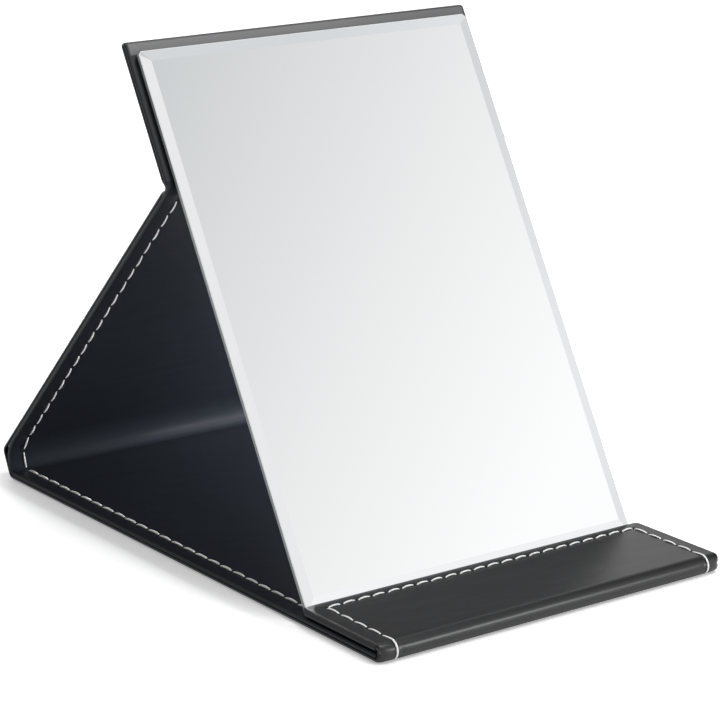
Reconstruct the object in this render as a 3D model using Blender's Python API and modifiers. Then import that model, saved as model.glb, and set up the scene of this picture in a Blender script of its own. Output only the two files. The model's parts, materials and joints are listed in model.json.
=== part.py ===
"""Folding countertop mirror.

A bevelled glass is glued to the upper panel of a stitched leather case.  The rest of
the case folds into its stand: a support panel behind the mirror, a narrow spine, a base
panel on the table, and a front flap that is folded back on the base and stops the foot
of the glass.  Every panel is a board between an outer leather and a lining.

Side view, X across the case: the panels are laid out as (y, z) points, then each body
gets an empty on its hinge axis and its pieces are modelled flat in that empty's frame,
local Y along the panel, local Z from the outer leather to the lining.
Metres, +Z up, origin under the middle of the whole mirror.
"""
import math

import bmesh
import bpy
from mathutils import Matrix, Vector

# ---------------------------------------------------------------- driving dimensions
# Glass
GLASS_WIDTH = 0.1400
GLASS_LENGTH = 0.1963
GLASS_THICKNESS = 0.0020
GLASS_BEVEL_WIDTH = 0.0039
GLASS_BEVEL_DROP = 0.0005
GLASS_CORNER_CUT = 0.0012
BACKING_THICKNESS = 0.0004
BACKING_INSET = 0.0010

# Laminate of every panel
LEATHER_THICKNESS = 0.00075
BOARD_THICKNESS = 0.00135
LINING_THICKNESS = 0.0006
GLUE_LINE = 0.0002
EDGE_GROOVE = 0.0003
EDGE_ROUND = 0.0012
BOARD_SETBACK = 0.0005
BOARD_EDGE_ROUND = 0.0003

# Case
CASE_SIDE_MARGIN = 0.0029
CASE_TOP_MARGIN = 0.0050
MIRROR_LEAN = math.radians(60.5)
UPPER_LENGTH = 0.0516
SUPPORT_LENGTH = 0.1683
SPINE_WIDTH = 0.0121
SPINE_TILT = math.radians(64.5)
FLAP_LENGTH = 0.0439
SPINE_BEND_RADIUS = 0.0034
TOP_BEND_RADIUS = 0.0015
HINGE_GAP = 0.0003
HINGE_SIDE_INSET = 0.0006

# Play between pieces that only touch
FOOT_GAP = 0.0003
FLAP_GAP = 0.0005
FLAP_TO_GLASS = 0.0004

# Magnets in the flap and the steel keepers that they meet in the upper panel
MAGNET_DIAMETER = 0.0100
MAGNET_THICKNESS = 0.0009
MAGNET_FROM_SIDE = 0.0275
MAGNET_FROM_FLAP_EDGE = 0.0160
KEEPER_DIAMETER = 0.0120
KEEPER_THICKNESS = 0.0009
KEEPER_FROM_TOP_EDGE = 0.0250
POCKET_PLAY = 0.0003

# Facets of the round stretches
EDGE_SEGMENTS = 4
BEND_SEGMENTS = 8
FOLD_SEGMENTS = 16
DISC_SEGMENTS = 32

# ---------------------------------------------------------------- derived sizes
PANEL = LEATHER_THICKNESS + BOARD_THICKNESS + LINING_THICKNESS + 2 * GLUE_LINE
CASE_WIDTH = GLASS_WIDTH + 2 * CASE_SIDE_MARGIN
BOARD_BOTTOM = LEATHER_THICKNESS + GLUE_LINE
BACKING_BOTTOM = PANEL + GLUE_LINE
GLASS_BACK = BACKING_BOTTOM + BACKING_THICKNESS + GLUE_LINE
GLASS_EDGE = GLASS_THICKNESS - GLASS_BEVEL_DROP
FOOT_TO_TOP_HINGE = GLASS_LENGTH + CASE_TOP_MARGIN - UPPER_LENGTH
FOLD_RADIUS = PANEL + FLAP_GAP / 2

# Side view from the foot of the glass, whose back edge stands on the base at y = 0
top_hinge = Vector((
    FOOT_TO_TOP_HINGE * math.cos(MIRROR_LEAN) + GLASS_BACK * math.sin(MIRROR_LEAN),
    PANEL + FOOT_GAP + FOOT_TO_TOP_HINGE * math.sin(MIRROR_LEAN) - GLASS_BACK * math.cos(MIRROR_LEAN),
))
spine_top_height = SPINE_WIDTH * math.sin(SPINE_TILT)
SUPPORT_SLOPE = math.asin((top_hinge.y - spine_top_height) / SUPPORT_LENGTH)
spine_top = Vector((top_hinge.x + SUPPORT_LENGTH * math.cos(SUPPORT_SLOPE), spine_top_height))
spine_foot = Vector((spine_top.x - SPINE_WIDTH * math.cos(SPINE_TILT), 0.0))
flap_back_edge = -GLASS_EDGE * math.sin(MIRROR_LEAN) - FLAP_TO_GLASS
fold_front = flap_back_edge - FLAP_LENGTH

# Directions in which the panels run, as angles about X from +Y
SUPPORT_ANGLE = math.pi - SUPPORT_SLOPE
FLAP_ANGLE = math.pi

# Length that each bend takes from the panels on both sides of it
LOWER_BEND = SPINE_BEND_RADIUS * math.tan(SPINE_TILT / 2)
UPPER_BEND = SPINE_BEND_RADIUS * math.tan((SUPPORT_ANGLE - SPINE_TILT) / 2)
TOP_BEND = TOP_BEND_RADIUS * math.tan((SUPPORT_ANGLE - MIRROR_LEAN) / 2)

# The bend above the spine reaches furthest back, the front fold furthest forward
upper_bend_centre = spine_top + Vector((
    -SPINE_BEND_RADIUS * math.sin(SPINE_TILT) - UPPER_BEND * math.cos(SPINE_TILT),
    SPINE_BEND_RADIUS * math.cos(SPINE_TILT) - UPPER_BEND * math.sin(SPINE_TILT),
))
rear_reach = upper_bend_centre.x + SPINE_BEND_RADIUS
MIDDLE_Y = (fold_front + rear_reach) / 2

# The flap turns about the middle of the leather that joins it to the base
fold_centre_y = fold_front + FOLD_RADIUS
fold_leather_length = math.pi * (FOLD_RADIUS - LEATHER_THICKNESS / 2)
flap_axis = Vector((fold_centre_y - fold_leather_length / 2, FOLD_RADIUS))

# ---------------------------------------------------------------- scene and materials
for old in list(bpy.data.objects):
    bpy.data.objects.remove(old, do_unlink=True)

case = bpy.data.collections.new("folding_countertop_mirror")
bpy.context.scene.collection.children.link(case)
cutters = bpy.data.collections.new("cutters")
bpy.context.scene.collection.children.link(cutters)


def principled(name, colour, roughness, metallic=0.0):
    """A Principled material of one colour."""
    material = bpy.data.materials.new(name)
    material.use_nodes = True
    shader = material.node_tree.nodes["Principled BSDF"]
    shader.inputs["Base Color"].default_value = (*colour, 1.0)
    shader.inputs["Roughness"].default_value = roughness
    shader.inputs["Metallic"].default_value = metallic
    return material


LEATHER = ("outer leather", (0.030, 0.030, 0.033), 0.42)
LINING = ("lining", (0.022, 0.022, 0.026), 0.50)
BOARD = ("grey board", (0.34, 0.31, 0.27), 0.90)
MIRROR = ("silvered glass", (0.92, 0.93, 0.94), 0.02, 1.0)
CARD = ("black card", (0.015, 0.015, 0.016), 0.70)
STEEL = ("steel plate", (0.55, 0.56, 0.58), 0.35, 1.0)
NICKEL = ("nickelled magnet", (0.62, 0.61, 0.58), 0.25, 1.0)


# ---------------------------------------------------------------- bodies
def body(name, y, z, angle):
    """Empty on a body's hinge axis; its local Y runs along the panel."""
    empty = bpy.data.objects.new(name, None)
    empty.empty_display_size = 0.02
    empty.location = (0.0, y - MIDDLE_Y, z)
    empty.rotation_euler = (angle, 0.0, 0.0)
    case.objects.link(empty)
    return empty


base = body("base_frame", spine_foot.x, 0.0, 0.0)
spine = body("spine_frame", spine_foot.x, 0.0, SPINE_TILT)
support = body("support_frame", spine_top.x, spine_top.y, SUPPORT_ANGLE)
mirror = body("mirror_frame", top_hinge.x, top_hinge.y, MIRROR_LEAN)
flap = body("flap_frame", flap_axis.x, flap_axis.y, FLAP_ANGLE)


def add_piece(name, bm, parent, finish, collection=case):
    """Make an object of the bmesh, in the frame of its body."""
    mesh = bpy.data.meshes.new(name)
    bm.to_mesh(mesh)
    bm.free()
    piece = bpy.data.objects.new(name, mesh)
    piece.parent = parent
    collection.objects.link(piece)
    if finish:
        mesh.materials.append(principled(f"{name} {finish[0]}", *finish[1:]))
    return piece


def round_shading(piece, angle=math.radians(35)):
    """Smooth shading with hard lines only where the faces turn sharply."""
    piece.data.shade_smooth()
    piece.data.set_sharp_from_angle(angle=angle)


# ---------------------------------------------------------------- shapes
def slab(low, high):
    """Box between two corners."""
    bm = bmesh.new()
    bmesh.ops.create_cube(bm, size=1.0)
    middle = (Vector(low) + Vector(high)) / 2
    bmesh.ops.scale(bm, vec=Vector(high) - Vector(low), verts=bm.verts)
    bmesh.ops.translate(bm, vec=middle, verts=bm.verts)
    return bm


def turned_skin(name, parent, start, end, wall, finish, lining=False, turned_end=None,
                outer=0.0):
    """Leather or lining of one panel, with its edges turned over the board.

    It is half of a rounded slab, hollowed to the wall.  The sides are always turned;
    turned_end is +1 or -1 where the panel's far or near end is a free edge, turned too.
    The other ends are cut open, because the leather runs on over the bend there.
    """
    half_width = CASE_WIDTH / 2
    bm = slab((-half_width, start, outer), (half_width, end, outer + PANEL))
    bm.faces.ensure_lookup_table()
    free_y = {1: end, -1: start}.get(turned_end)

    def turned(edge):
        a, b = (vertex.co for vertex in edge.verts)
        along_panel = abs(a.y - b.y) > abs(a.x - b.x) + abs(a.z - b.z)
        at_free_end = free_y is not None and math.isclose(a.y, free_y) and math.isclose(b.y, free_y)
        return along_panel or at_free_end

    bmesh.ops.bevel(bm, geom=[e for e in bm.edges if turned(e)], offset=EDGE_ROUND,
                    segments=EDGE_SEGMENTS, profile=0.5, affect="EDGES", clamp_overlap=False)
    open_ends = [y for side, y in ((1, end), (-1, start)) if side != turned_end]
    cut_faces = [f for f in bm.faces
                 if any(abs(f.calc_center_median().y - y) < EDGE_GROOVE / 10 for y in open_ends)]
    bmesh.ops.delete(bm, geom=cut_faces, context="FACES")
    rim = (outer + (PANEL + (EDGE_GROOVE if lining else -EDGE_GROOVE)) / 2)
    direction = -1.0 if lining else 1.0
    geometry = bm.verts[:] + bm.edges[:] + bm.faces[:]
    bmesh.ops.bisect_plane(bm, geom=geometry, plane_co=(0, 0, rim), plane_no=(0, 0, direction),
                           clear_outer=True)
    piece = add_piece(name, bm, parent, finish)
    shell = piece.modifiers.new("wall", "SOLIDIFY")
    shell.thickness = wall
    shell.offset = -1.0
    shell.use_even_offset = True
    round_shading(piece)
    return piece


def panel_board(name, parent, start, end, turned_end=None, outer=0.0):
    """Board inside a panel, clear of the turned edges round it."""
    side = CASE_WIDTH / 2 - LEATHER_THICKNESS - BOARD_SETBACK
    near = start + (LEATHER_THICKNESS + BOARD_SETBACK if turned_end == -1 else 0.0)
    far = end - (LEATHER_THICKNESS + BOARD_SETBACK if turned_end == 1 else 0.0)
    bottom = outer + BOARD_BOTTOM
    bm = slab((-side, near, bottom), (side, far, bottom + BOARD_THICKNESS))
    bmesh.ops.bevel(bm, geom=bm.edges[:], offset=BOARD_EDGE_ROUND, segments=2, profile=0.5,
                    affect="EDGES", clamp_overlap=False)
    return add_piece(name, bm, parent, BOARD)


def bend_leather(name, parent, centre, radius, first, last, segments, hollow=False):
    """Leather over a bend: a strip swept round the bend's axis, then given its wall.

    centre is the bend's axis as (y, z) in the parent's frame.  first and last are the
    directions from the axis to the strip's ends.  A hollow bend shows its inner side.
    """
    half_width = CASE_WIDTH / 2 - HINGE_SIDE_INSET
    bm = bmesh.new()
    near = Vector((0.0, centre[0] + radius * math.cos(first), centre[1] + radius * math.sin(first)))
    ends = [bm.verts.new(near + Vector((x, 0.0, 0.0))) for x in (-half_width, half_width)]
    line = bm.edges.new(ends)
    bmesh.ops.spin(bm, geom=ends + [line], axis=(1, 0, 0), cent=(0.0, *centre),
                   angle=last - first, steps=segments)
    bm.normal_update()
    bm.faces.ensure_lookup_table()
    strip = bm.faces[0]
    outwards = strip.calc_center_median() - Vector((strip.calc_center_median().x, *centre))
    if (strip.normal.dot(outwards) < 0.0) != hollow:
        bmesh.ops.reverse_faces(bm, faces=bm.faces[:])
    piece = add_piece(name, bm, parent, LEATHER)
    shell = piece.modifiers.new("wall", "SOLIDIFY")
    shell.thickness = LEATHER_THICKNESS
    shell.offset = -1.0
    shell.use_even_offset = True
    round_shading(piece)
    return piece


def disc(bm_diameter, thickness, x, y, bottom):
    """Round plate lying in a panel."""
    bm = bmesh.new()
    bmesh.ops.create_cone(bm, cap_ends=True, segments=DISC_SEGMENTS, radius1=bm_diameter / 2,
                          radius2=bm_diameter / 2, depth=thickness)
    bmesh.ops.translate(bm, vec=(x, y, bottom + thickness / 2), verts=bm.verts)
    return bm


def pocket(board, name, diameter, thickness, x, y, bottom):
    """Cut a hole through the board for a disc, with play all round."""
    cutter = add_piece(name, disc(diameter + 2 * POCKET_PLAY, thickness, x, y, bottom),
                       board.parent, None, cutters)
    cutter.hide_render = True
    cutter.display_type = "WIRE"
    cut = board.modifiers.new(name, "BOOLEAN")
    cut.operation = "DIFFERENCE"
    cut.solver = "EXACT"
    cut.object = cutter


def discs_in_board(board, kind, diameter, thickness, y, outer, finish):
    """A pair of discs, each in its own through hole of the board."""
    middle = outer + BOARD_BOTTOM + BOARD_THICKNESS / 2
    through = BOARD_THICKNESS * 2
    for side, sign in (("left", -1), ("right", 1)):
        x = sign * (CASE_WIDTH / 2 - MAGNET_FROM_SIDE)
        pocket(board, f"{kind}_pocket_{side}", diameter, through, x, y, middle - through / 2)
        bm = disc(diameter, thickness, x, y, middle - thickness / 2)
        round_shading(add_piece(f"{kind}_{side}", bm, board.parent, finish))


# ---------------------------------------------------------------- base panel
base_start = fold_centre_y - spine_foot.x + HINGE_GAP
base_end = -LOWER_BEND - HINGE_GAP
turned_skin("base_outer_leather", base, base_start, base_end, LEATHER_THICKNESS, LEATHER)
panel_board("base_board", base, base_start, base_end)
turned_skin("base_lining", base, base_start, base_end, LINING_THICKNESS, LINING, lining=True)

# ---------------------------------------------------------------- spine
spine_start = LOWER_BEND + HINGE_GAP
spine_end = SPINE_WIDTH - UPPER_BEND - HINGE_GAP
turned_skin("spine_outer_leather", spine, spine_start, spine_end, LEATHER_THICKNESS, LEATHER)
panel_board("spine_board", spine, spine_start, spine_end)
turned_skin("spine_lining", spine, spine_start, spine_end, LINING_THICKNESS, LINING, lining=True)

# ---------------------------------------------------------------- support panel
support_start = UPPER_BEND + HINGE_GAP
support_end = SUPPORT_LENGTH - TOP_BEND - HINGE_GAP
turned_skin("support_outer_leather", support, support_start, support_end, LEATHER_THICKNESS, LEATHER)
panel_board("support_board", support, support_start, support_end)
turned_skin("support_lining", support, support_start, support_end, LINING_THICKNESS, LINING,
            lining=True)

# ---------------------------------------------------------------- upper panel behind the glass
upper_start = TOP_BEND + HINGE_GAP
turned_skin("upper_outer_leather", mirror, upper_start, UPPER_LENGTH, LEATHER_THICKNESS, LEATHER,
            turned_end=1)
upper_board = panel_board("upper_board", mirror, upper_start, UPPER_LENGTH, turned_end=1)
turned_skin("upper_lining", mirror, upper_start, UPPER_LENGTH, LINING_THICKNESS, LINING,
            lining=True, turned_end=1)
discs_in_board(upper_board, "keeper_plate", KEEPER_DIAMETER, KEEPER_THICKNESS,
               UPPER_LENGTH - KEEPER_FROM_TOP_EDGE, 0.0, STEEL)

# ---------------------------------------------------------------- glass and its backing
glass_foot = -FOOT_TO_TOP_HINGE
glass_top = glass_foot + GLASS_LENGTH
half_glass = GLASS_WIDTH / 2
backing = slab((-half_glass + BACKING_INSET, glass_foot + BACKING_INSET, BACKING_BOTTOM),
               (half_glass - BACKING_INSET, glass_top - BACKING_INSET,
                BACKING_BOTTOM + BACKING_THICKNESS))
add_piece("glass_backing", backing, mirror, CARD)

glass = slab((-half_glass, glass_foot, GLASS_BACK), (half_glass, glass_top, GLASS_BACK + GLASS_EDGE))
front = max(glass.faces, key=lambda face: face.calc_center_median().z)
bmesh.ops.inset_region(glass, faces=[front], thickness=GLASS_BEVEL_WIDTH, depth=0.0,
                       use_even_offset=True)
bmesh.ops.translate(glass, vec=(0.0, 0.0, GLASS_BEVEL_DROP), verts=front.verts)
corners = [e for e in glass.edges
           if all(abs(v.co.x) > half_glass - GLASS_CORNER_CUT for v in e.verts)
           and abs(e.verts[0].co.z - e.verts[1].co.z) > GLASS_EDGE / 2]
bmesh.ops.bevel(glass, geom=corners, offset=GLASS_CORNER_CUT, segments=1, profile=0.5,
                affect="EDGES", clamp_overlap=False)
add_piece("mirror_glass", glass, mirror, MIRROR)

# ---------------------------------------------------------------- front flap
# The flap's frame is turned over, so its near end is the free edge at the glass.
flap_outer = -FOLD_RADIUS
flap_start = flap_axis.x - flap_back_edge
flap_end = flap_axis.x - fold_centre_y - HINGE_GAP
turned_skin("flap_outer_leather", flap, flap_start, flap_end, LEATHER_THICKNESS, LEATHER,
            turned_end=-1, outer=flap_outer)
flap_board = panel_board("flap_board", flap, flap_start, flap_end, turned_end=-1, outer=flap_outer)
turned_skin("flap_lining", flap, flap_start, flap_end, LINING_THICKNESS, LINING, lining=True,
            turned_end=-1, outer=flap_outer)
discs_in_board(flap_board, "flap_magnet", MAGNET_DIAMETER, MAGNET_THICKNESS,
               flap_start + MAGNET_FROM_FLAP_EDGE, flap_outer, NICKEL)

# ---------------------------------------------------------------- leather over the bends
# Front fold: a half turn from the base to the flap, in the base's frame.
bend_leather("front_fold_leather", base, (fold_centre_y - spine_foot.x, FOLD_RADIUS), FOLD_RADIUS,
             -math.pi / 2, -3 * math.pi / 2, FOLD_SEGMENTS)
# Below and above the spine: the leather is on the outer side, and the bend is in the frame
# of the panel before it, whose outer leather faces -Z.
bend_leather("spine_lower_leather", base, (-LOWER_BEND, SPINE_BEND_RADIUS), SPINE_BEND_RADIUS,
             -math.pi / 2, -math.pi / 2 + SPINE_TILT, BEND_SEGMENTS)
bend_leather("spine_upper_leather", spine, (SPINE_WIDTH - UPPER_BEND, SPINE_BEND_RADIUS),
             SPINE_BEND_RADIUS, -math.pi / 2, -math.pi / 2 + SUPPORT_ANGLE - SPINE_TILT,
             BEND_SEGMENTS)
# Top hinge: the outer leather is inside this bend, and the boards part behind it.
bend_leather("top_hinge_leather", support, (SUPPORT_LENGTH - TOP_BEND, -TOP_BEND_RADIUS),
             TOP_BEND_RADIUS, math.pi / 2, math.pi / 2 - (SUPPORT_ANGLE - MIRROR_LEAN),
             BEND_SEGMENTS, hollow=True)
# The lining crosses the gap that the boards leave there at rest: a flat strip from the
# support's lining to the upper panel's, both taken at the middle of their thickness.
inner = PANEL - LINING_THICKNESS / 2
across = (SUPPORT_ANGLE - MIRROR_LEAN) / 2
lining_end = Vector((TOP_BEND + HINGE_GAP, inner))
reach = 2 * (lining_end.x * math.cos(across) + lining_end.y * math.sin(across))
strip_half = reach / 2 - HINGE_GAP
middle_out = lining_end.y * math.cos(across) - lining_end.x * math.sin(across)
strip = slab((-CASE_WIDTH / 2 + EDGE_ROUND, -strip_half, middle_out - LINING_THICKNESS / 2),
             (CASE_WIDTH / 2 - EDGE_ROUND, strip_half, middle_out + LINING_THICKNESS / 2))
bmesh.ops.rotate(strip, cent=(0, 0, 0), matrix=Matrix.Rotation(-across, 3, "X"), verts=strip.verts)
bmesh.ops.translate(strip, vec=(0.0, SUPPORT_LENGTH, 0.0), verts=strip.verts)
add_piece("top_hinge_lining", strip, support, LINING)
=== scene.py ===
"""Folding countertop mirror: black stitched leather case that stands a bevelled glass."""
import json
import math

import bpy
import numpy as np
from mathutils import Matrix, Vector


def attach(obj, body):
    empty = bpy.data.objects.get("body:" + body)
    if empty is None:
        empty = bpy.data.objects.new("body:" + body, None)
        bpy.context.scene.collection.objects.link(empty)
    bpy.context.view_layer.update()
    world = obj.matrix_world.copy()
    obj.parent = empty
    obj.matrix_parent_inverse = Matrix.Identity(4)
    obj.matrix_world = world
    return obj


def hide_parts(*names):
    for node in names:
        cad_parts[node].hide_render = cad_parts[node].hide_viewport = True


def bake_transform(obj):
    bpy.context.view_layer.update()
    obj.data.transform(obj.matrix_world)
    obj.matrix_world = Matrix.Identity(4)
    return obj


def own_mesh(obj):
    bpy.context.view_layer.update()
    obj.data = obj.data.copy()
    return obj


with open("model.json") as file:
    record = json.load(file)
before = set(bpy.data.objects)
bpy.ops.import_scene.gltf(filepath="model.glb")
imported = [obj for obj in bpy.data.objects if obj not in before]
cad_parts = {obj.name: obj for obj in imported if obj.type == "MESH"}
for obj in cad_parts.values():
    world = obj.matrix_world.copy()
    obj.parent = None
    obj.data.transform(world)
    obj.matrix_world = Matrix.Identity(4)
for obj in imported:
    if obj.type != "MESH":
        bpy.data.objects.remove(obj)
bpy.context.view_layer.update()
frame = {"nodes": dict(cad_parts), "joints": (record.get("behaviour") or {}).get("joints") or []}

# ---------------------------------------------------------------- camera
# Where the photograph was taken from: left of the glass, in front of it and above it.  It
# looks down by CAMERA_DOWN and is turned to the right by CAMERA_TURN, both in degrees.
CAMERA_PLACE = (-0.5690, -0.7842, 0.3339)
CAMERA_DOWN = 15.615
CAMERA_TURN = 36.296
LENS_MM = 141.82
camera_data = bpy.data.cameras.new("camera")
camera_data.sensor_width = 36.0
camera_data.lens = LENS_MM
camera = bpy.data.objects.new("camera", camera_data)
camera.location = CAMERA_PLACE
camera.rotation_euler = (math.radians(90.0 - CAMERA_DOWN), 0.0, math.radians(-CAMERA_TURN))
scene = bpy.context.scene
scene.collection.objects.link(camera)
scene.camera = camera

# ---------------------------------------------------------------- light and surroundings
# White studio.  What glossy surfaces see falls off from the bright front right to a dark
# ceiling, which gives the tone of glass and leather.  A soft lamp hangs above the front, a low
# window lamp stands at the front right, and a fill lamp shines in under the glass from the right.
class Wire:
    """A socket of a material's or the world's node tree; arithmetic on it adds Math nodes."""

    def __init__(self, tree, socket):
        self.tree = tree
        self.socket = socket

    def node(self, kind, settings=None, inputs=None, output=0):
        """Add a node.  settings are its properties, inputs are values or wires by socket."""
        made = self.tree.nodes.new(kind)
        for key, value in (settings or {}).items():
            setattr(made, key, value)
        for key, value in (inputs or {}).items():
            if isinstance(value, Wire):
                self.tree.links.new(value.socket, made.inputs[key])
            else:
                made.inputs[key].default_value = value
        return Wire(self.tree, made.outputs[output])

    def maths(self, operation, *others):
        """Math node on this wire and the others."""
        return self.node("ShaderNodeMath", {"operation": operation},
                         dict(enumerate((self, *others))))

    def __add__(self, other):
        return self.maths("ADD", other)

    def __sub__(self, other):
        return self.maths("SUBTRACT", other)

    def __rsub__(self, other):
        return self.node("ShaderNodeMath", {"operation": "SUBTRACT"}, {0: other, 1: self})

    def __mul__(self, other):
        return self.maths("MULTIPLY", other)

    def __truediv__(self, other):
        return self.maths("DIVIDE", other)

    __radd__ = __add__
    __rmul__ = __mul__

    def smooth(self, low, high, to_low=0.0, to_high=1.0):
        """Smooth step from to_low at low to to_high at high."""
        return self.node("ShaderNodeMapRange", {"interpolation_type": "SMOOTHSTEP"},
                         {0: self, 1: low, 2: high, 3: to_low, 4: to_high})

    def blend(self, first, second):
        """Colour between two colours, with this wire as the factor."""
        return self.node("ShaderNodeMix", {"data_type": "RGBA"}, {0: self, 6: first, 7: second},
                         output=2)

    def outputs_of(self, kind, *names):
        """Wires from the named outputs of one new node."""
        made = self.tree.nodes.new(kind)
        return [Wire(self.tree, made.outputs[name]) for name in names]

    def parts(self):
        """Wires of the X, Y and Z of this vector."""
        split = self.node("ShaderNodeSeparateXYZ", {}, {0: self})
        return [Wire(self.tree, part) for part in split.socket.node.outputs]


def finish_of(name, colour, roughness, **sockets):
    """Principled material and a wire to work on its tree.  sockets are input values."""
    material = bpy.data.materials.new(name)
    material.use_nodes = True
    shader = material.node_tree.nodes["Principled BSDF"]
    shader.inputs["Base Color"].default_value = (*colour, 1.0)
    shader.inputs["Roughness"].default_value = roughness
    for socket, value in sockets.items():
        shader.inputs[socket.replace("_", " ")].default_value = value
    return material, Wire(material.node_tree, shader.inputs["Roughness"])


def connect(material, **wires):
    """Join wires to the named inputs of a material's Principled shader."""
    shader = material.node_tree.nodes["Principled BSDF"]
    for socket, wire in wires.items():
        material.node_tree.links.new(wire.socket, shader.inputs[socket.replace("_", " ")])


scene.view_settings.view_transform = "Standard"
world = bpy.data.worlds.new("white room")
world.use_nodes = True
scene.world = world
background = world.node_tree.nodes["Background"]
wire = Wire(world.node_tree, background.inputs["Strength"])
# x, y and z are the parts of a ray's direction, from -1 to 1
x, y, z = wire.node("ShaderNodeTexCoord", output="Generated").parts()
# What the glass shows: bright below a line that climbs to the right, and dimmer above it
CLIMB = 0.9
CLIMB_FROM = 0.57
DIMMEST = 0.66
BRIGHTEST = 1.06
height = z - CLIMB * (x - CLIMB_FROM)
falloff = (1.69 - 1.5 * height).maths("MAXIMUM", DIMMEST).maths("MINIMUM", BRIGHTEST)
# Bands that the upper, left, right and lower bevels of the glass turn to the camera
upper_band = y.smooth(-0.53, -0.47, 0.0, 0.10) * x.smooth(0.64, 0.70, 1.0, 0.0)
left_band = x.smooth(0.20, 0.30) * x.smooth(0.42, 0.48, 1.0, 0.0)
left_band = left_band * y.smooth(-0.6, -0.5, 0.90, 0.0)
right_band = x.smooth(0.64, 0.72, 1.0, z.smooth(0.42, 0.54, 0.84, 0.68))
lower_band = z.smooth(0.36, 0.42, 0.92, 1.0)
front = (falloff + upper_band).maths("MAXIMUM", left_band) * right_band * lower_band
# The ceiling is dark, and so is the rear, but for a pale patch right behind the case
CEILING = 0.08
overhead = y.smooth(-0.36, -0.20)
behind = y.smooth(0.2, 0.4)
behind_light = x.smooth(0.66, 0.73, 0.95, 0.10) * x.smooth(-0.4, 0.2, 0.4, 1.0)
dark = CEILING * (1.0 - behind) + behind * behind_light
glossy = front * (1.0 - overhead) + dark * overhead
# Matt surfaces are lit more from the right, and the camera sees white
diffuse = x.smooth(-0.9, 0.6, 0.35, 0.80)
camera_ray, glossy_ray = wire.outputs_of("ShaderNodeLightPath", "Is Camera Ray", "Is Glossy Ray")
indirect = glossy_ray * glossy + (1.0 - glossy_ray) * diffuse
strength = camera_ray + (1.0 - camera_ray) * indirect
world.node_tree.links.new(strength.socket, background.inputs["Strength"])
WHITE = (1.0, 1.0, 1.0, 1.0)
COOL_WHITE = (0.95, 0.98, 1.0, 1.0)
tint = (height.smooth(0.52, 0.72) * x.smooth(0.42, 0.50)).blend(WHITE, COOL_WHITE)
world.node_tree.links.new(tint.socket, background.inputs["Color"])


def soft_light(name, place, aim, size, power, mirrored=True):
    """Square area light that faces a point.  mirrored is whether glossy surfaces show it."""
    data = bpy.data.lights.new(name, "AREA")
    data.size = size
    data.energy = power
    light = bpy.data.objects.new(name, data)
    light.location = place
    light.rotation_euler = (Vector(aim) - Vector(place)).to_track_quat("-Z", "Y").to_euler()
    light.visible_camera = False
    light.visible_glossy = mirrored
    scene.collection.objects.link(light)


soft_light("key light", (0.24, -0.38, 1.45), (0.0, 0.0, 0.05), 0.6, 9.0)
soft_light("window light", (0.40, -0.79, 0.20), (0.0, 0.0, 0.02), 0.12, 1.7)
soft_light("fill light", (0.13, 0.02, 0.050), (-0.02, 0.07, 0.02), 0.06, 1.05, mirrored=False)

# ---------------------------------------------------------------- floor
# Plain white table top, matt, on which the case stands.  It is stage, not a part of the
# object.
TABLE_REACH = 4.0
floor_mesh = bpy.data.meshes.new("floor")
floor_mesh.from_pydata([(x * TABLE_REACH, y * TABLE_REACH, 0.0)
                        for x, y in ((-1, -1), (1, -1), (1, 1), (-1, 1))], [], [(0, 1, 2, 3)])
floor = bpy.data.objects.new("floor", floor_mesh)
scene.collection.objects.link(floor)

table_white, wire = finish_of("white table", (0.92, 0.92, 0.92), 0.5, Emission_Strength=1.0)
# Seen by the camera or in a reflection, the table is lifted to the white backdrop; the lift
# grows away from the case, so that its shadow stays.  Being smaller near the case, it paints
# shade round the case, deeper in the table that the leather mirrors.
camera_ray, glossy_ray = wire.outputs_of("ShaderNodeLightPath", "Is Camera Ray", "Is Glossy Ray")
distance = wire.node("ShaderNodeVectorMath", {"operation": "LENGTH"},
                     {0: wire.node("ShaderNodeTexCoord", output="Object")}, output="Value")
connect(table_white, Emission_Color=camera_ray * distance.smooth(0.13, 0.22, 0.30, 0.56)
        + glossy_ray * distance.smooth(0.14, 0.40, 0.10, 0.68))
floor_mesh.materials.append(table_white)

# ---------------------------------------------------------------- outer leather of the panels
# Black coated leather round five grey boards, its edges turned over them.  Each panel is drawn
# on a line (y, z) with a direction along the panel and one from the outer leather to the
# lining.  The CAD model's hinges say where it stands.
PANEL = 0.0031
LEATHER = 0.00075
HALF_WIDTH = 0.0729
FOLD_RADIUS = 0.00335
SPINE_BEND = 0.0034
TOP_BEND = 0.0015
FLAP_LENGTH = 0.0439
UPPER_LENGTH = 0.0516
MIRROR_LEAN = math.radians(60.5)
hinge = {joint["child"]: np.array(joint["pos_m"][1:]) for joint in frame["joints"]}


def direction(angle):
    """Unit vector (y, z) at an angle from +Y."""
    return np.array((math.cos(angle), math.sin(angle)))


def slope_between(first, second):
    """Angle of the line from one hinge to the next."""
    y, z = second - first
    return math.atan2(z, y)


spine_angle = slope_between(hinge["spine"], hinge["support"])
support_angle = slope_between(hinge["support"], hinge["mirror"])
spine_width = float(np.linalg.norm(hinge["support"] - hinge["spine"]))
support_length = float(np.linalg.norm(hinge["mirror"] - hinge["support"]))
QUARTER = math.pi / 2
# The flap's hinge lies where the middle of the fold's leather opens out flat
fold_y = hinge["flap"][0] + QUARTER * (FOLD_RADIUS - LEATHER / 2)
fold_centre = np.array((fold_y, FOLD_RADIUS))
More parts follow.
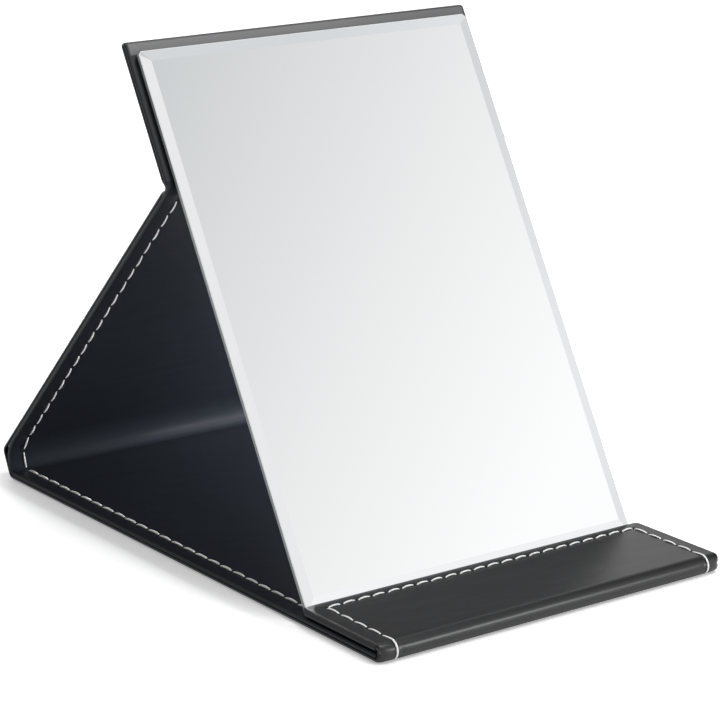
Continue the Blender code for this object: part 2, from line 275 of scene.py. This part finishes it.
# Origin, direction along the panel, direction from the outer leather to the lining
panels = {
    "base": (np.array((fold_y, 0.0)), direction(0.0), direction(QUARTER)),
    "spine": (hinge["spine"], direction(spine_angle), direction(spine_angle + QUARTER)),
    "support": (hinge["support"], direction(support_angle), direction(support_angle + QUARTER)),
    "mirror": (hinge["mirror"], direction(MIRROR_LEAN), direction(MIRROR_LEAN + QUARTER)),
    "flap": (fold_centre + (0.0, FOLD_RADIUS), direction(0.0), direction(-QUARTER)),
}
base_length = float(hinge["spine"][0] - fold_y)
# How much of its two panels each bend takes up
lower_take = SPINE_BEND * math.tan(spine_angle / 2)
upper_take = SPINE_BEND * math.tan((support_angle - spine_angle) / 2)
top_take = TOP_BEND * math.tan((support_angle - MIRROR_LEAN) / 2)
flap_length = FLAP_LENGTH - FOLD_RADIUS


def arc(radius_x, radius_y, first, last, steps):
    """Points (radius_x cos a, radius_y sin a) for a from first to last."""
    angle = np.linspace(first, last, steps)[:, None]
    return np.hstack((radius_x * np.cos(angle), radius_y * np.sin(angle)))


# Edge profile as (distance in from the edge, height above the outer face): from the bottom of
# the groove between leather and lining, round the turned edge, over the dip that the seam
# pulls, to the flat face
OUTER_EDGE = np.vstack((
    [(0.00080, 0.00155), (0.00045, 0.00152)],
    (0.00025, 0.00122) + arc(-0.00025, 0.00028, QUARTER * 0.8, 0.0, 4),
    (0.00140, 0.00145) + arc(-0.00140, -0.00125, 0.15, QUARTER * 0.92, 8),
    [(0.0024, 0.00011), (0.0036, 0.00005), (0.0048, 0.00003), (0.0056, 0.00007),
     (0.0062, 0.00013), (0.0068, 0.00007), (0.0078, 0.00001), (0.0092, 0.0)],
))
CORNER_RADIUS = 0.0024
UPPER_CORNER_RADIUS = 0.0016
ROW_STEP = 0.003


def straight_rows(panel, first, last):
    """Rows along a panel's left side, at the points origin + s along for s from first to last.

    A row has x, its outward direction as (x, along), point, along, inwards and distance s.
    """
    origin, along, inwards = panels[panel]
    count = max(2, int(abs(last - first) / ROW_STEP) + 1)
    s = np.linspace(first, last, count)
    ones = np.ones(count)
    return (-HALF_WIDTH * ones, -ones, 0 * ones, origin + s[:, None] * along,
            ones[:, None] * along, ones[:, None] * inwards, s)


def free_end_rows(panel, last, radius):
    """Rows round the left corner of a free end and on to its middle.

    The corner is x = radius (1 - cos a) - HALF_WIDTH, s = last - radius (1 - sin a) for a up to
    a quarter turn.
    """
    origin, along, inwards = panels[panel]
    angle = np.linspace(0.0, QUARTER, 8)[1:]
    width = np.linspace(-HALF_WIDTH + radius, 0.0, 30)[1:]
    x = np.concatenate((-HALF_WIDTH + radius * (1 - np.cos(angle)), width))
    s = np.concatenate((last - radius * (1 - np.sin(angle)), 0 * width + last))
    out_x = np.concatenate((-np.cos(angle), 0 * width))
    out_s = np.concatenate((np.sin(angle), 0 * width + 1))
    ones = np.ones(len(x))[:, None]
    return x, out_x, out_s, origin + s[:, None] * along, ones * along, ones * inwards, s


def line_rows(points):
    """Rows along a curve (y, z) of the outer face: along is its tangent, inwards that turned left."""
    along = np.gradient(points, axis=0)
    step = np.linalg.norm(np.diff(points, axis=0), axis=1)
    along /= np.linalg.norm(along, axis=1)[:, None]
    inwards = np.stack((-along[:, 1], along[:, 0]), axis=1)
    ones = np.ones(len(points))
    return (-HALF_WIDTH * ones, -ones, 0 * ones, points, along, inwards,
            np.concatenate(([0.0], np.cumsum(step))))


def bend_rows(centre, radius, first, last, steps, side=1):
    """Rows round a bend, at centre + radius (cos a, sin a) for a from first to last.

    side is -1 where the outer face is on the inside of the bend.
    """
    angle = np.linspace(first, last, steps)
    away = np.stack((np.cos(angle), np.sin(angle)), axis=1)
    ones = np.ones(steps)
    turn = np.sign(last - first)
    along = turn * np.stack((-away[:, 1], away[:, 0]), axis=1)
    return (-HALF_WIDTH * ones, -ones, 0 * ones, centre + radius * away, along, -side * away,
            radius * np.abs(angle - first))


def joined(*groups):
    """One run of rows from several."""
    return tuple(np.concatenate(parts) for parts in zip(*groups))


def whole_panel(panel, first, last, radius):
    """Rows of a panel with a free end: its left side, then its left corner and end."""
    return joined(straight_rows(panel, first, last - radius), free_end_rows(panel, last, radius))


def grid_faces(rows, columns):
    """Corner indices of the faces of a grid of points."""
    first = (np.arange(rows - 1)[:, None] * columns + np.arange(columns - 1)).ravel()
    return np.stack((first, first + 1, first + columns + 1, first + columns), axis=1)


def mesh_object(name, points, faces, material, uv=None):
    """Smooth mesh object of points (n, 3) and faces (m, corners).  uv is (n, 2)."""
    mesh = bpy.data.meshes.new(name)
    mesh.vertices.add(len(points))
    mesh.vertices.foreach_set("co", points.astype(np.float32).ravel())
    mesh.loops.add(faces.size)
    mesh.loops.foreach_set("vertex_index", faces.astype(np.int32).ravel())
    mesh.polygons.add(len(faces))
    mesh.polygons.foreach_set("loop_start", np.arange(0, faces.size, faces.shape[1], dtype=np.int32))
    mesh.update(calc_edges=True)
    mesh.shade_smooth()
    if uv is not None:
        layer = mesh.uv_layers.new(name="panel")
        layer.data.foreach_set("uv", uv[faces.ravel()].astype(np.float32).ravel())
    mesh.materials.append(material)
    mesh.validate()
    made = bpy.data.objects.new(name, mesh)
    scene.collection.objects.link(made)
    return made


# UV units to a metre, so that the longest panel stays within 0 to 1
UV_SCALE = 4.0
# Twice the area of a face that has none, in square metres
NO_AREA = 1e-9


def skin(name, rows, edge, material, end=math.inf, radius=CORNER_RADIUS, drawn=0.0, across=24):
    """Leather skin of a panel or bend, swept along rows with its turned edge on both sides.

    Left column j of row k lies d_j in from the outline and h_j inwards of the outer face:
    x = max(x - min(d, r) out_x, d - HALF_WIDTH) and s = min(s - min(d, r) out_s, end - d), the
    inset outline of a panel that ends at end with corner radius r.  The outline is drawn in by
    drawn_k (1 - h_j / FOLD_RADIUS)^2.  Right columns mirror the left ones, and straight rungs
    join the two flat faces.  Faces without area, where inset rows coincide, are left out.
    """
    x, out_x, out_s, point, along, inwards, s = rows
    d, h = edge[:, 0], edge[:, 1]
    inset = np.minimum(d, radius)
    left_x = np.maximum(x[:, None] - out_x[:, None] * inset, d - HALF_WIDTH)
    left_x = left_x + np.reshape(drawn, (-1, 1)) * np.clip(1 - h / FOLD_RADIUS, 0.0, 1.0) ** 2
    left_s = np.minimum(s[:, None] - out_s[:, None] * inset, end - d) - s[:, None]
    left = (point[:, None] + left_s[..., None] * along[:, None] + h[:, None] * inwards[:, None])
    share = np.linspace(0.0, 1.0, across + 2)[1:-1]
    middle_x = left_x[:, -1:] * (1 - 2 * share)
    middle = np.repeat(left[:, -1:], across, axis=1)
    all_x = np.hstack((left_x, middle_x, -left_x[:, ::-1]))
    side = np.concatenate((left, middle, left[:, ::-1]), axis=1)
    points = np.concatenate((all_x[..., None], side), axis=2)
    middle_s = np.repeat(left_s[:, -1:], across, axis=1)
    all_s = s[:, None] + np.hstack((left_s, middle_s, left_s[:, ::-1]))
    uv = UV_SCALE * np.stack((all_x + HALF_WIDTH, all_s), axis=2)
    points, faces = points.reshape(-1, 3), grid_faces(*all_x.shape)
    corners = points[faces]
    twice_area = np.linalg.norm(np.cross(corners[:, 2] - corners[:, 0],
                                         corners[:, 3] - corners[:, 1]), axis=1)
    used, faces = np.unique(faces[twice_area > NO_AREA], return_inverse=True)
    return mesh_object(name, points[used], faces.reshape(-1, 4), material, uv.reshape(-1, 2)[used])


def coated(name, colour, roughness, ripple, **sockets):
    """Coated leather: a fine pebble grain over soft ripples that run across the case.

    ripple is how far the ripples stand out, in metres.
    """
    material, wire = finish_of(name, colour, roughness, **sockets)
    place = wire.node("ShaderNodeTexCoord", output="Object")
    stretched = wire.node("ShaderNodeMapping", {}, {0: place, "Scale": (0.35, 1.0, 1.0)})
    waves = wire.node("ShaderNodeTexNoise", {}, {"Vector": stretched, "Scale": 110.0, "Detail": 2.0})
    pebbles = wire.node("ShaderNodeTexVoronoi", {"feature": "SMOOTH_F1"},
                        {"Vector": place, "Scale": 2300.0})
    soft = wire.node("ShaderNodeBump", {}, {"Strength": 1.0, "Distance": ripple, "Height": waves})
    fine = wire.node("ShaderNodeBump", {}, {"Strength": 0.2, "Distance": 0.00004,
                                            "Height": pebbles, "Normal": soft})
    connect(material, Normal=fine)
    return material, wire


leather, _ = coated("black coated leather", (0.012, 0.012, 0.013), 0.35, 0.00020)
TUCK_REACH = 0.0026
for body, name, rows, end, radius in (
    ("base", "base", straight_rows("base", 0.0, base_length - lower_take), math.inf, CORNER_RADIUS),
    ("spine", "spine", straight_rows("spine", lower_take, spine_width - upper_take), math.inf,
     CORNER_RADIUS),
    ("support", "support", straight_rows("support", upper_take, support_length - TUCK_REACH),
     math.inf, CORNER_RADIUS),
    ("mirror", "upper", whole_panel("mirror", TUCK_REACH, UPPER_LENGTH, UPPER_CORNER_RADIUS),
     UPPER_LENGTH, UPPER_CORNER_RADIUS),
    ("flap", "flap", whole_panel("flap", 0.0, flap_length, CORNER_RADIUS), flap_length,
     CORNER_RADIUS),
):
    piece = skin(f"{name}_leather", rows, OUTER_EDGE, leather, end, radius)
    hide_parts(f"{name}_outer_leather")
    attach(piece, body)

# ---------------------------------------------------------------- front fold
# The outer leather turns round from the base to the flap, which lies back on the base.  Its
# ends are rounded and folded in.
FOLD_END_ROUND = 0.0030
# The fold's skin starts at this point of OUTER_EDGE, and the folded-in ends go on from there
FOLD_START = 3
# The leather folded in at both ends of the fold, down to its axis, as (distance, height)
FOLD_FILL = np.array(((0.0004, 0.0012), (0.0007, 0.0020), (0.0010, 0.0026), (0.0012, FOLD_RADIUS)))


def fold_skin(name, first, last, edge, across):
    """Skin round the front fold, from angle first to last.

    It is drawn in at both ends by r - sqrt(r^2 - (r - t)^2), where t is the distance behind
    the foremost line and r is FOLD_END_ROUND.
    """
    rows = bend_rows(fold_centre, FOLD_RADIUS, first, last, 25)
    from_front = np.clip(rows[3][:, 0] - (fold_y - FOLD_RADIUS), 0.0, FOLD_END_ROUND)
    drawn = FOLD_END_ROUND - np.sqrt(FOLD_END_ROUND ** 2 - (FOLD_END_ROUND - from_front) ** 2)
    return skin(name, rows, edge, leather, drawn=drawn, across=across)


front_fold = fold_skin("front_fold", -QUARTER, -3 * QUARTER, OUTER_EDGE[FOLD_START:], 24)
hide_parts("front_fold_leather")
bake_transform(front_fold)
# The folded-in ends ride on the base, with a mesh of their own; on the case they flatten
# as the flap opens
fold_ends = fold_skin("fold_ends", -3 * QUARTER, -QUARTER, FOLD_FILL, 0)
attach(fold_ends, "base")
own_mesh(fold_ends)

# ---------------------------------------------------------------- bends at the spine
# The outer leather runs round the rear of the case in two soft bends, one below the spine
# and one above it.
lower_centre = hinge["spine"] + (-lower_take, SPINE_BEND)
lower_bend = skin("spine_lower_bend", bend_rows(lower_centre, SPINE_BEND, -QUARTER,
                                                -QUARTER + spine_angle, 13), OUTER_EDGE, leather)
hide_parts("spine_lower_leather")
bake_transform(lower_bend)

_, spine_along, spine_inwards = panels["spine"]
upper_centre = hinge["support"] - upper_take * spine_along + SPINE_BEND * spine_inwards
upper_bend = skin("spine_upper_bend", bend_rows(upper_centre, SPINE_BEND, spine_angle - QUARTER,
                                                support_angle - QUARTER, 13), OUTER_EDGE, leather)
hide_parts("spine_upper_leather")
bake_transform(upper_bend)

# ---------------------------------------------------------------- hinge at the top
# Between support and upper panel the outer leather is tucked into the gap of the boards, and
# the black lining, on the far side, runs round them in one bend.
TUCK_DEPTH = 0.0009
TUCK_ROUND = 0.0006
TUCK_PULL = 0.6 * TUCK_REACH
LINING_BLACK = (0.011, 0.013, 0.017)
lining, _ = coated("black lining", LINING_BLACK, 0.42, 0.00015, Specular_IOR_Level=0.3)
# The lining's edge profile, in the same measures as that of the outer leather
LINING_EDGE = np.vstack((
    [(0.00080, 0.00155), (0.00060, 0.00158)],
    (0.00055, 0.00184) + arc(-0.00022, -0.00024, QUARTER * 0.8, 0.0, 4),
    (0.00138, 0.00200) + arc(-0.00105, 0.00100, 0.15, QUARTER * 0.92, 8),
    [(0.0024, PANEL - 0.00008), (0.0036, PANEL - 0.00004), (0.0048, PANEL - 0.00003),
     (0.0056, PANEL - 0.00007), (0.0062, PANEL - 0.00013), (0.0068, PANEL - 0.00007),
     (0.0078, PANEL - 0.00001), (0.0092, PANEL)],
))
_, support_along, support_inwards = panels["support"]
_, mirror_along, mirror_inwards = panels["mirror"]
top_centre = hinge["mirror"] - top_take * support_along - TOP_BEND * support_inwards


def cubic(a, b, c, d, steps=9):
    """Points (1-t)^3 a + 3t(1-t)^2 b + 3t^2(1-t) c + t^3 d for t from 0 to 1."""
    t = np.linspace(0.0, 1.0, steps)[:, None]
    return (1 - t) ** 3 * a + 3 * t * (1 - t) ** 2 * b + 3 * t ** 2 * (1 - t) * c + t ** 3 * d


tuck_in = (support_inwards + mirror_inwards) / np.linalg.norm(support_inwards + mirror_inwards)
tuck_across = np.array((tuck_in[1], -tuck_in[0]))
tuck_foot = hinge["mirror"] + TUCK_DEPTH * tuck_in
before = hinge["mirror"] - TUCK_REACH * support_along
after = hinge["mirror"] + TUCK_REACH * mirror_along
tuck = np.vstack((
    cubic(before, before + TUCK_PULL * support_along, tuck_foot - TUCK_ROUND * tuck_across,
          tuck_foot),
    cubic(tuck_foot, tuck_foot + TUCK_ROUND * tuck_across, after - TUCK_PULL * mirror_along,
          after)[1:]))
for name, rows, edge, finish, node, slot in (
    ("top_hinge_outer", line_rows(tuck), OUTER_EDGE, leather, "top_hinge_leather",
     "outer_leather"),
    ("top_hinge_inner", bend_rows(top_centre, TOP_BEND, support_angle + QUARTER,
                                  MIRROR_LEAN + QUARTER, 13, side=-1),
     LINING_EDGE, lining, "top_hinge_lining", "lining"),
):
    piece = skin(name, rows, edge, finish)
    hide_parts(node)
    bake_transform(piece)

# ---------------------------------------------------------------- lining
# Smooth black leather glued in on every panel, with its own turned edge, and laid in soft
# curves over both creases at the spine.  Above the glass a grey is painted into it as a sheen.
LOWER_REACH = 0.0016
SPINE_REACH = 0.0058
SUPPORT_REACH = 0.0090
# Grey painted on the black lining above the glass, as the sheen of the light that falls there
SHEEN_GREY = (0.17, 0.17, 0.172)
BAND_RIM = 0.12
sheen_lining, wire = coated("lining with painted sheen", SHEEN_GREY, 0.42, 0.00015)
across, up, _ = wire.node("ShaderNodeUVMap").parts()
across, up = across / UV_SCALE, up / UV_SCALE
# The painted sheen starts under the glass, keeps off its turned rim and both sides, and fades a
# little towards the right
band = up.smooth(UPPER_LENGTH - 0.0056, UPPER_LENGTH - 0.0050)
band = band * up.smooth(UPPER_LENGTH - 0.0016, UPPER_LENGTH - 0.0007, 1.0, BAND_RIM)
band = band * (across - HALF_WIDTH).maths("ABSOLUTE").smooth(HALF_WIDTH - 0.0020,
                                                             HALF_WIDTH - 0.0010, 1.0, 0.0)
band = band * across.smooth(0.07, 0.14, 1.0, 0.75)
connect(sheen_lining, Base_Color=band.blend((*LINING_BLACK, 1.0), (*SHEEN_GREY, 1.0)))
base_face = np.array((0.0, PANEL))
spine_face = hinge["spine"] + PANEL * spine_inwards
support_face = hinge["support"] + PANEL * support_inwards


def crossing(point, along, other, other_along):
    """Where two lines (y, z) cross."""
    share = np.linalg.solve(np.stack((along, -other_along), axis=1), other - point)
    return point + share[0] * along


def rounded(corner, before, after, reach_before, reach_after, steps=15):
    """Quadratic curve that rounds a corner: (1-t)^2 A + 2t(1-t) corner + t^2 B."""
    t = np.linspace(0.0, 1.0, steps)[:, None]
    return ((1 - t) ** 2 * (corner - reach_before * before) + 2 * t * (1 - t) * corner
            + t ** 2 * (corner + reach_after * after))


lower_crease = crossing(base_face, direction(0.0), spine_face, spine_along)
upper_crease = crossing(spine_face, spine_along, support_face, support_along)
lower_round = rounded(lower_crease, direction(0.0), spine_along, LOWER_REACH, LOWER_REACH)
upper_round = rounded(upper_crease, spine_along, support_along, SPINE_REACH, SUPPORT_REACH)
middle = (lower_round[-1] + upper_round[0]) / 2
lining_base_end = float(lower_crease[0] - LOWER_REACH - fold_y)
lining_support_start = float(np.dot(upper_crease - support_face, support_along) + SUPPORT_REACH)


def lining_line(points):
    """Rows of the lining's face line, moved back to the outer face that profiles start from."""
    x, out_x, out_s, face, along, inwards, s = line_rows(points)
    return x, out_x, out_s, face - PANEL * inwards, along, inwards, s


for body, name, rows, end, radius, finish in (
    ("base", "base", straight_rows("base", 0.0, lining_base_end), math.inf, CORNER_RADIUS, lining),
    ("support", "support", straight_rows("support", lining_support_start,
                                         support_length - top_take),
     math.inf, CORNER_RADIUS, lining),
    ("mirror", "upper", whole_panel("mirror", top_take, UPPER_LENGTH, UPPER_CORNER_RADIUS),
     UPPER_LENGTH, UPPER_CORNER_RADIUS, sheen_lining),
    ("flap", "flap", whole_panel("flap", 0.0, flap_length, CORNER_RADIUS), flap_length,
     CORNER_RADIUS, lining),
):
    piece = skin(f"{name}_inner", rows, LINING_EDGE, finish, end, radius)
    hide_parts(f"{name}_lining")
    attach(piece, body)

lower_half = skin("spine_inner_lower", lining_line(np.vstack((lower_round, middle))),
                  LINING_EDGE, lining)
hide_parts("spine_lining")
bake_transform(lower_half)
upper_half = skin("spine_inner_upper", lining_line(np.vstack((middle, upper_round))),
                  LINING_EDGE, lining)
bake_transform(upper_half)

# ---------------------------------------------------------------- what the leather hides
# Grey boards, the magnets and steel plates let into them, and the black card behind the
# glass.  They are the CAD model's own solids, given their materials here.
board, _ = finish_of("grey board", (0.34, 0.31, 0.27), 0.9)
steel, _ = finish_of("plain steel", (0.55, 0.56, 0.58), 0.35, Metallic=1.0)
nickel, _ = finish_of("nickelled", (0.62, 0.61, 0.58), 0.25, Metallic=1.0)
card, _ = finish_of("black card", (0.015, 0.015, 0.016), 0.7)
for node, cad in frame["nodes"].items():
    for word, material in (("board", board), ("keeper", steel), ("magnet", nickel),
                           ("backing", card)):
        if word in node:
            cad.data.materials.clear()
            cad.data.materials.append(material)

# ---------------------------------------------------------------- glass
# Silvered float glass with a ground bevel all round, clipped corners and a seamed front edge,
# glued on a black card on the upper panel.
GLASS_HALF = 0.0700
GLASS_LENGTH = 0.1963
GLASS_BACK = 0.0039
GLASS_THICKNESS = 0.0020
BEVEL_WIDTH = 0.0039
BEVEL_DROP = 0.0003
# A seam is a narrow strip ground off a sharp edge
SEAM = 0.00022
BACK_SEAM_WIDTH = 0.0003
BACK_SEAM_HEIGHT = 0.0002
CORNER_CUT = 0.0012
BAND_HEIGHT = 0.0050
# Where the glass ends below, along the upper panel from its hinge
glass_foot = -(GLASS_LENGTH + BAND_HEIGHT - UPPER_LENGTH)


def glass_ring(inset, height):
    """Eight points round the glass, at an inset from its outline and a height in the panel.

    The clipped corners keep their 45 degrees, so their cut shrinks by (2 - sqrt 2) inset.
    """
    x, low = GLASS_HALF - inset, glass_foot + inset
    high = glass_foot + GLASS_LENGTH - inset
    cut = max(CORNER_CUT - (2 - math.sqrt(2)) * inset, 0.0)
    outline = np.array(((-x, low + cut), (-x + cut, low), (x - cut, low), (x, low + cut),
                        (x, high - cut), (x - cut, high), (-x + cut, high), (-x, high - cut)))
    origin, along, inwards = panels["mirror"]
    side = origin + outline[:, 1:] * along + height * inwards
    return np.hstack((outline[:, :1], side))


front_edge = GLASS_BACK + GLASS_THICKNESS - BEVEL_DROP
rings = [glass_ring(BACK_SEAM_WIDTH, GLASS_BACK), glass_ring(0.0, GLASS_BACK + BACK_SEAM_HEIGHT),
         glass_ring(0.0, front_edge - SEAM), glass_ring(SEAM, front_edge),
         glass_ring(BEVEL_WIDTH, GLASS_BACK + GLASS_THICKNESS)]
glass_mesh = bpy.data.meshes.new("bevelled_glass")
corner = np.arange(8)
following = np.roll(corner, -1)
band_faces = np.stack((corner, following, following + 8, corner + 8), axis=1)
faces = [corner[::-1].tolist()]
for ring_index in range(len(rings) - 1):
    faces += (band_faces + 8 * ring_index).tolist()
faces.append((corner + 8 * (len(rings) - 1)).tolist())
glass_mesh.from_pydata(np.vstack(rings).tolist(), [], faces)
silvered, _ = finish_of("silvered glass", (0.92, 0.925, 0.93), 0.0, Metallic=1.0)
bevelled, _ = finish_of("silvered bevel", (0.90, 0.91, 0.92), 0.05, Metallic=1.0)
seam_white, _ = finish_of("seamed edge", (0.85, 0.87, 0.87), 0.35)
ground_edge, _ = finish_of("ground glass edge", (0.22, 0.26, 0.25), 0.3)
back_paint, _ = finish_of("grey back paint", (0.12, 0.12, 0.125), 0.5)
for finish in (silvered, bevelled, seam_white, ground_edge, back_paint):
    glass_mesh.materials.append(finish)
# Back, back seam, edge, front seam, bevel and face
glass_mesh.polygons.foreach_set("material_index",
                                [4] + [4] * 8 + [3] * 8 + [2] * 8 + [1] * 8 + [0])
glass_mesh.update()
glass = bpy.data.objects.new("bevelled_glass", glass_mesh)
scene.collection.objects.link(glass)
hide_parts("mirror_glass")
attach(glass, "mirror")

# ---------------------------------------------------------------- stitching
# Off-white twisted thread, sewn through every panel: a row of slightly arched stitches on
# both faces, with a dark disc of painted shade on the needle hole between each two.
THREAD = 0.00036
THREAD_TURNS = 9.0
FLATTENED = 0.8
ARCH_RISE = 0.00056
HOLE_DIP = 0.00032
STITCH_GAP = 0.0008
STITCH_LEAN = 0.00016
STITCH_JITTER = 0.00006
TABLE_PRESS = 0.00045
HOLE = 0.0005
HOLE_RISE = 0.00003
SIDE_LINE = 0.0066
SEAM_START = 0.0050
HINGE_CLEAR = 0.0045
CREASE_REACH = 0.0004
END_LINE = 0.0058
END_PITCH = 0.0060
UPPER_END_LINE = 0.0050
UPPER_SLANT = 0.005
line_x = HALF_WIDTH - SIDE_LINE
thread, wire = finish_of("off-white thread", (0.95, 0.95, 0.94), 0.6)
along, around, _ = wire.node("ShaderNodeUVMap").parts()
twist = ((along * THREAD_TURNS + around) * (2 * math.pi)).maths("SINE")
connect(thread, Normal=wire.node("ShaderNodeBump", {}, {"Strength": 0.6, "Distance": 0.0001,
                                                        "Height": twist}))
# Near-black paint for the shade in the needle holes
hole_shade_paint, _ = finish_of("painted shade in needle hole", (0.004, 0.004, 0.004), 0.8)


def surface_point(panel, x, s, inner):
    """Points (x, origin + s along + height inwards) on a panel's face, and normals out of it."""
    origin, along, inwards = panels[panel]
    height = PANEL if inner else 0.0
    side = origin + s[:, None] * along + height * inwards
    normal = (inwards if inner else -inwards) * np.ones((len(x), 1))
    return np.hstack((x[:, None], side)), np.hstack((0 * x[:, None], normal))


def holes_along(first, last, pitch):
    """Evenly spaced positions from first to last, about a pitch apart."""
    return np.linspace(first, last, int(round(abs(last - first) / pitch)) + 1)


def thread_mesh(name, centre, normal, gauge=1.0, pressed=0.0):
    """Stitches as one mesh.

    centre and normal are (stitches, n, 3): a line on the leather and the way out of it.  The
    thread stands out by ARCH_RISE sin(pi t)^0.5 - HOLE_DIP along the normal, so that it dips
    into its needle holes, and is an oval of half width gauge THREAD (0.6 + 0.4 sin(pi t)^0.5).
    pressed is how much deeper it lies.
    """
    count, steps, _ = centre.shape
    t = np.linspace(0.0, 1.0, steps)
    arch = np.sin(math.pi * t) ** 0.5
    lift = ARCH_RISE * arch - HOLE_DIP - pressed
    width = gauge * THREAD * (0.6 + 0.4 * arch)
    angle = np.linspace(0.0, 2 * math.pi, 9)[:-1]
    across = np.cross(np.gradient(centre, axis=1), normal)
    across /= np.linalg.norm(across, axis=2)[..., None]
    middle = centre + lift[None, :, None] * normal
    points = (middle[:, :, None]
              + (width[:, None] * np.cos(angle))[None, :, :, None] * across[:, :, None]
              + (FLATTENED * width[:, None] * np.sin(angle))[None, :, :, None] * normal[:, :, None])
    ring = np.arange(8)
    quad = np.stack((ring, (ring + 1) % 8, (ring + 1) % 8 + 8, ring + 8), axis=1)
    faces = (quad[None] + 8 * np.arange(steps - 1)[:, None, None]).reshape(-1, 4)
    faces = (faces[None] + 8 * steps * np.arange(count)[:, None, None]).reshape(-1, 4)
    u = np.broadcast_to(t[None, :, None], (count, steps, 8))
    v = np.broadcast_to(ring[None, None] / 8.0, (count, steps, 8))
    return mesh_object(name, points.reshape(-1, 3), faces, thread,
                       np.stack((u, v), axis=3).reshape(-1, 2))


def painted_hole_discs(name, places, normals, body):
    """Painted shade of the needle holes: dark discs of radius HOLE, which lie HOLE_RISE above the
    leather.
    """
    angle = np.linspace(0.0, 2 * math.pi, 9)[:-1]
    across = np.tile((1.0, 0.0, 0.0), (len(places), 1))
    other = np.cross(normals, across)
    rim = HOLE * (np.cos(angle)[None, :, None] * across[:, None]
                  + np.sin(angle)[None, :, None] * other[:, None])
    points = places[:, None] + rim + HOLE_RISE * normals[:, None]
    faces = np.arange(8 * len(places)).reshape(-1, 8)
    made = mesh_object(name, points.reshape(-1, 3), faces, hole_shade_paint)
    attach(made, body)


rng = np.random.default_rng(7)
# Panel, first and last hole, pitch, slant of the row across the free end, gauge of the thread
for panel, first, last, pitch, slant, gauge in (
    ("base", SEAM_START, lining_base_end + CREASE_REACH, 0.0076, None, 1.2),
    ("support", lining_support_start, support_length - HINGE_CLEAR, 0.0082, None, 0.85),
    ("mirror", HINGE_CLEAR, UPPER_LENGTH - UPPER_END_LINE, 0.0060, UPPER_SLANT, 1.0),
    ("flap", SEAM_START, flap_length - END_LINE, 0.0072, 0.0, 1.0),
):
    along_side = holes_along(first, last, pitch)
    lines = [(np.full(len(along_side), side * line_x), along_side) for side in (-1, 1)]
    if slant is not None:
        over = holes_along(-line_x, line_x, END_PITCH)
        lines.append((over, last - slant * over))
    for inner, face in ((False, "outer"), (True, "inner")):
        starts, ends, normals, places, hole_normals = [], [], [], [], []
        for x, s in lines:
            point, normal = surface_point(panel, x, s, inner)
            step = point[1:] - point[:-1]
            unit = step / np.linalg.norm(step, axis=1)[:, None]
            sideways = np.cross(unit, normal[1:]) * STITCH_LEAN
            starts.append(point[:-1] + unit * STITCH_GAP / 2 + sideways)
            ends.append(point[1:] - unit * STITCH_GAP / 2 - sideways)
            normals.append(normal[1:])
            places.append(point)
            hole_normals.append(normal)
        starts, ends, normals = np.vstack(starts), np.vstack(ends), np.vstack(normals)
        jitter = rng.normal(0.0, STITCH_JITTER, starts.shape)
        jitter -= np.sum(jitter * normals, axis=1)[:, None] * normals
        t = np.linspace(0.0, 1.0, 9)[None, :, None]
        centre = (starts + jitter)[:, None] * (1 - t) + (ends + jitter)[:, None] * t
        # The mirror's weight presses the stitches under its base into the leather
        pressed = TABLE_PRESS if panel == "base" and not inner else 0.0
        piece = thread_mesh(f"{panel}_{face}_stitches", centre,
                            np.repeat(normals[:, None], 9, axis=1), gauge, pressed)
        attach(piece, panel)
        if panel == "support" and inner:
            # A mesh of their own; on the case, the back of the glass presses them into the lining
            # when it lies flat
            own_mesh(piece)
        painted_hole_discs(f"{panel}_{face}_shaded_hole_discs", np.vstack(places), np.vstack(hole_normals), panel)

# One long stitch on each side wraps the front fold, from u = -WRAP_ON_FLAP on the flap to the
# table; its line is at angle QUARTER + u / FOLD_RADIUS, and straight where u < 0
WRAP_ON_FLAP = 0.0048
WRAP_ON_FOLD = 0.0096
u = np.linspace(-WRAP_ON_FLAP, WRAP_ON_FOLD, 25)
angle = QUARTER + np.maximum(u, 0.0) / FOLD_RADIUS
away = np.stack((0 * u, np.cos(angle), np.sin(angle)), axis=1)
straight = np.stack((0 * u, -np.minimum(u, 0.0), 0 * u), axis=1)
fold_line = np.array((0.0, *fold_centre)) + FOLD_RADIUS * away + straight
both_sides = np.array(((-line_x, 0.0, 0.0), (line_x, 0.0, 0.0)))[:, None]
fold_stitches = thread_mesh("fold_stitches", fold_line + both_sides, np.stack((away, away)))
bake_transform(fold_stitches)

# Two stitches on each side run over the lining's rounded creases, one on the spine and one on
# the support, each over a share of the way round
CREASE_GAUGE = 0.85
_, _, _, line, _, line_inwards, run = line_rows(np.vstack((lower_round, upper_round)))
for body, share in (("spine", (0.10, 0.48)), ("support", (0.53, 0.96))):
    at = np.linspace(share[0] * run[-1], share[1] * run[-1], 9)
    stitch, stitch_normal = (
        np.stack((0 * at, np.interp(at, run, part[:, 0]), np.interp(at, run, part[:, 1])), axis=1)
        for part in (line, line_inwards))
    piece = thread_mesh(f"{body}_crease_stitches", stitch + both_sides,
                        np.stack((stitch_normal, stitch_normal)), CREASE_GAUGE)
    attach(piece, body)
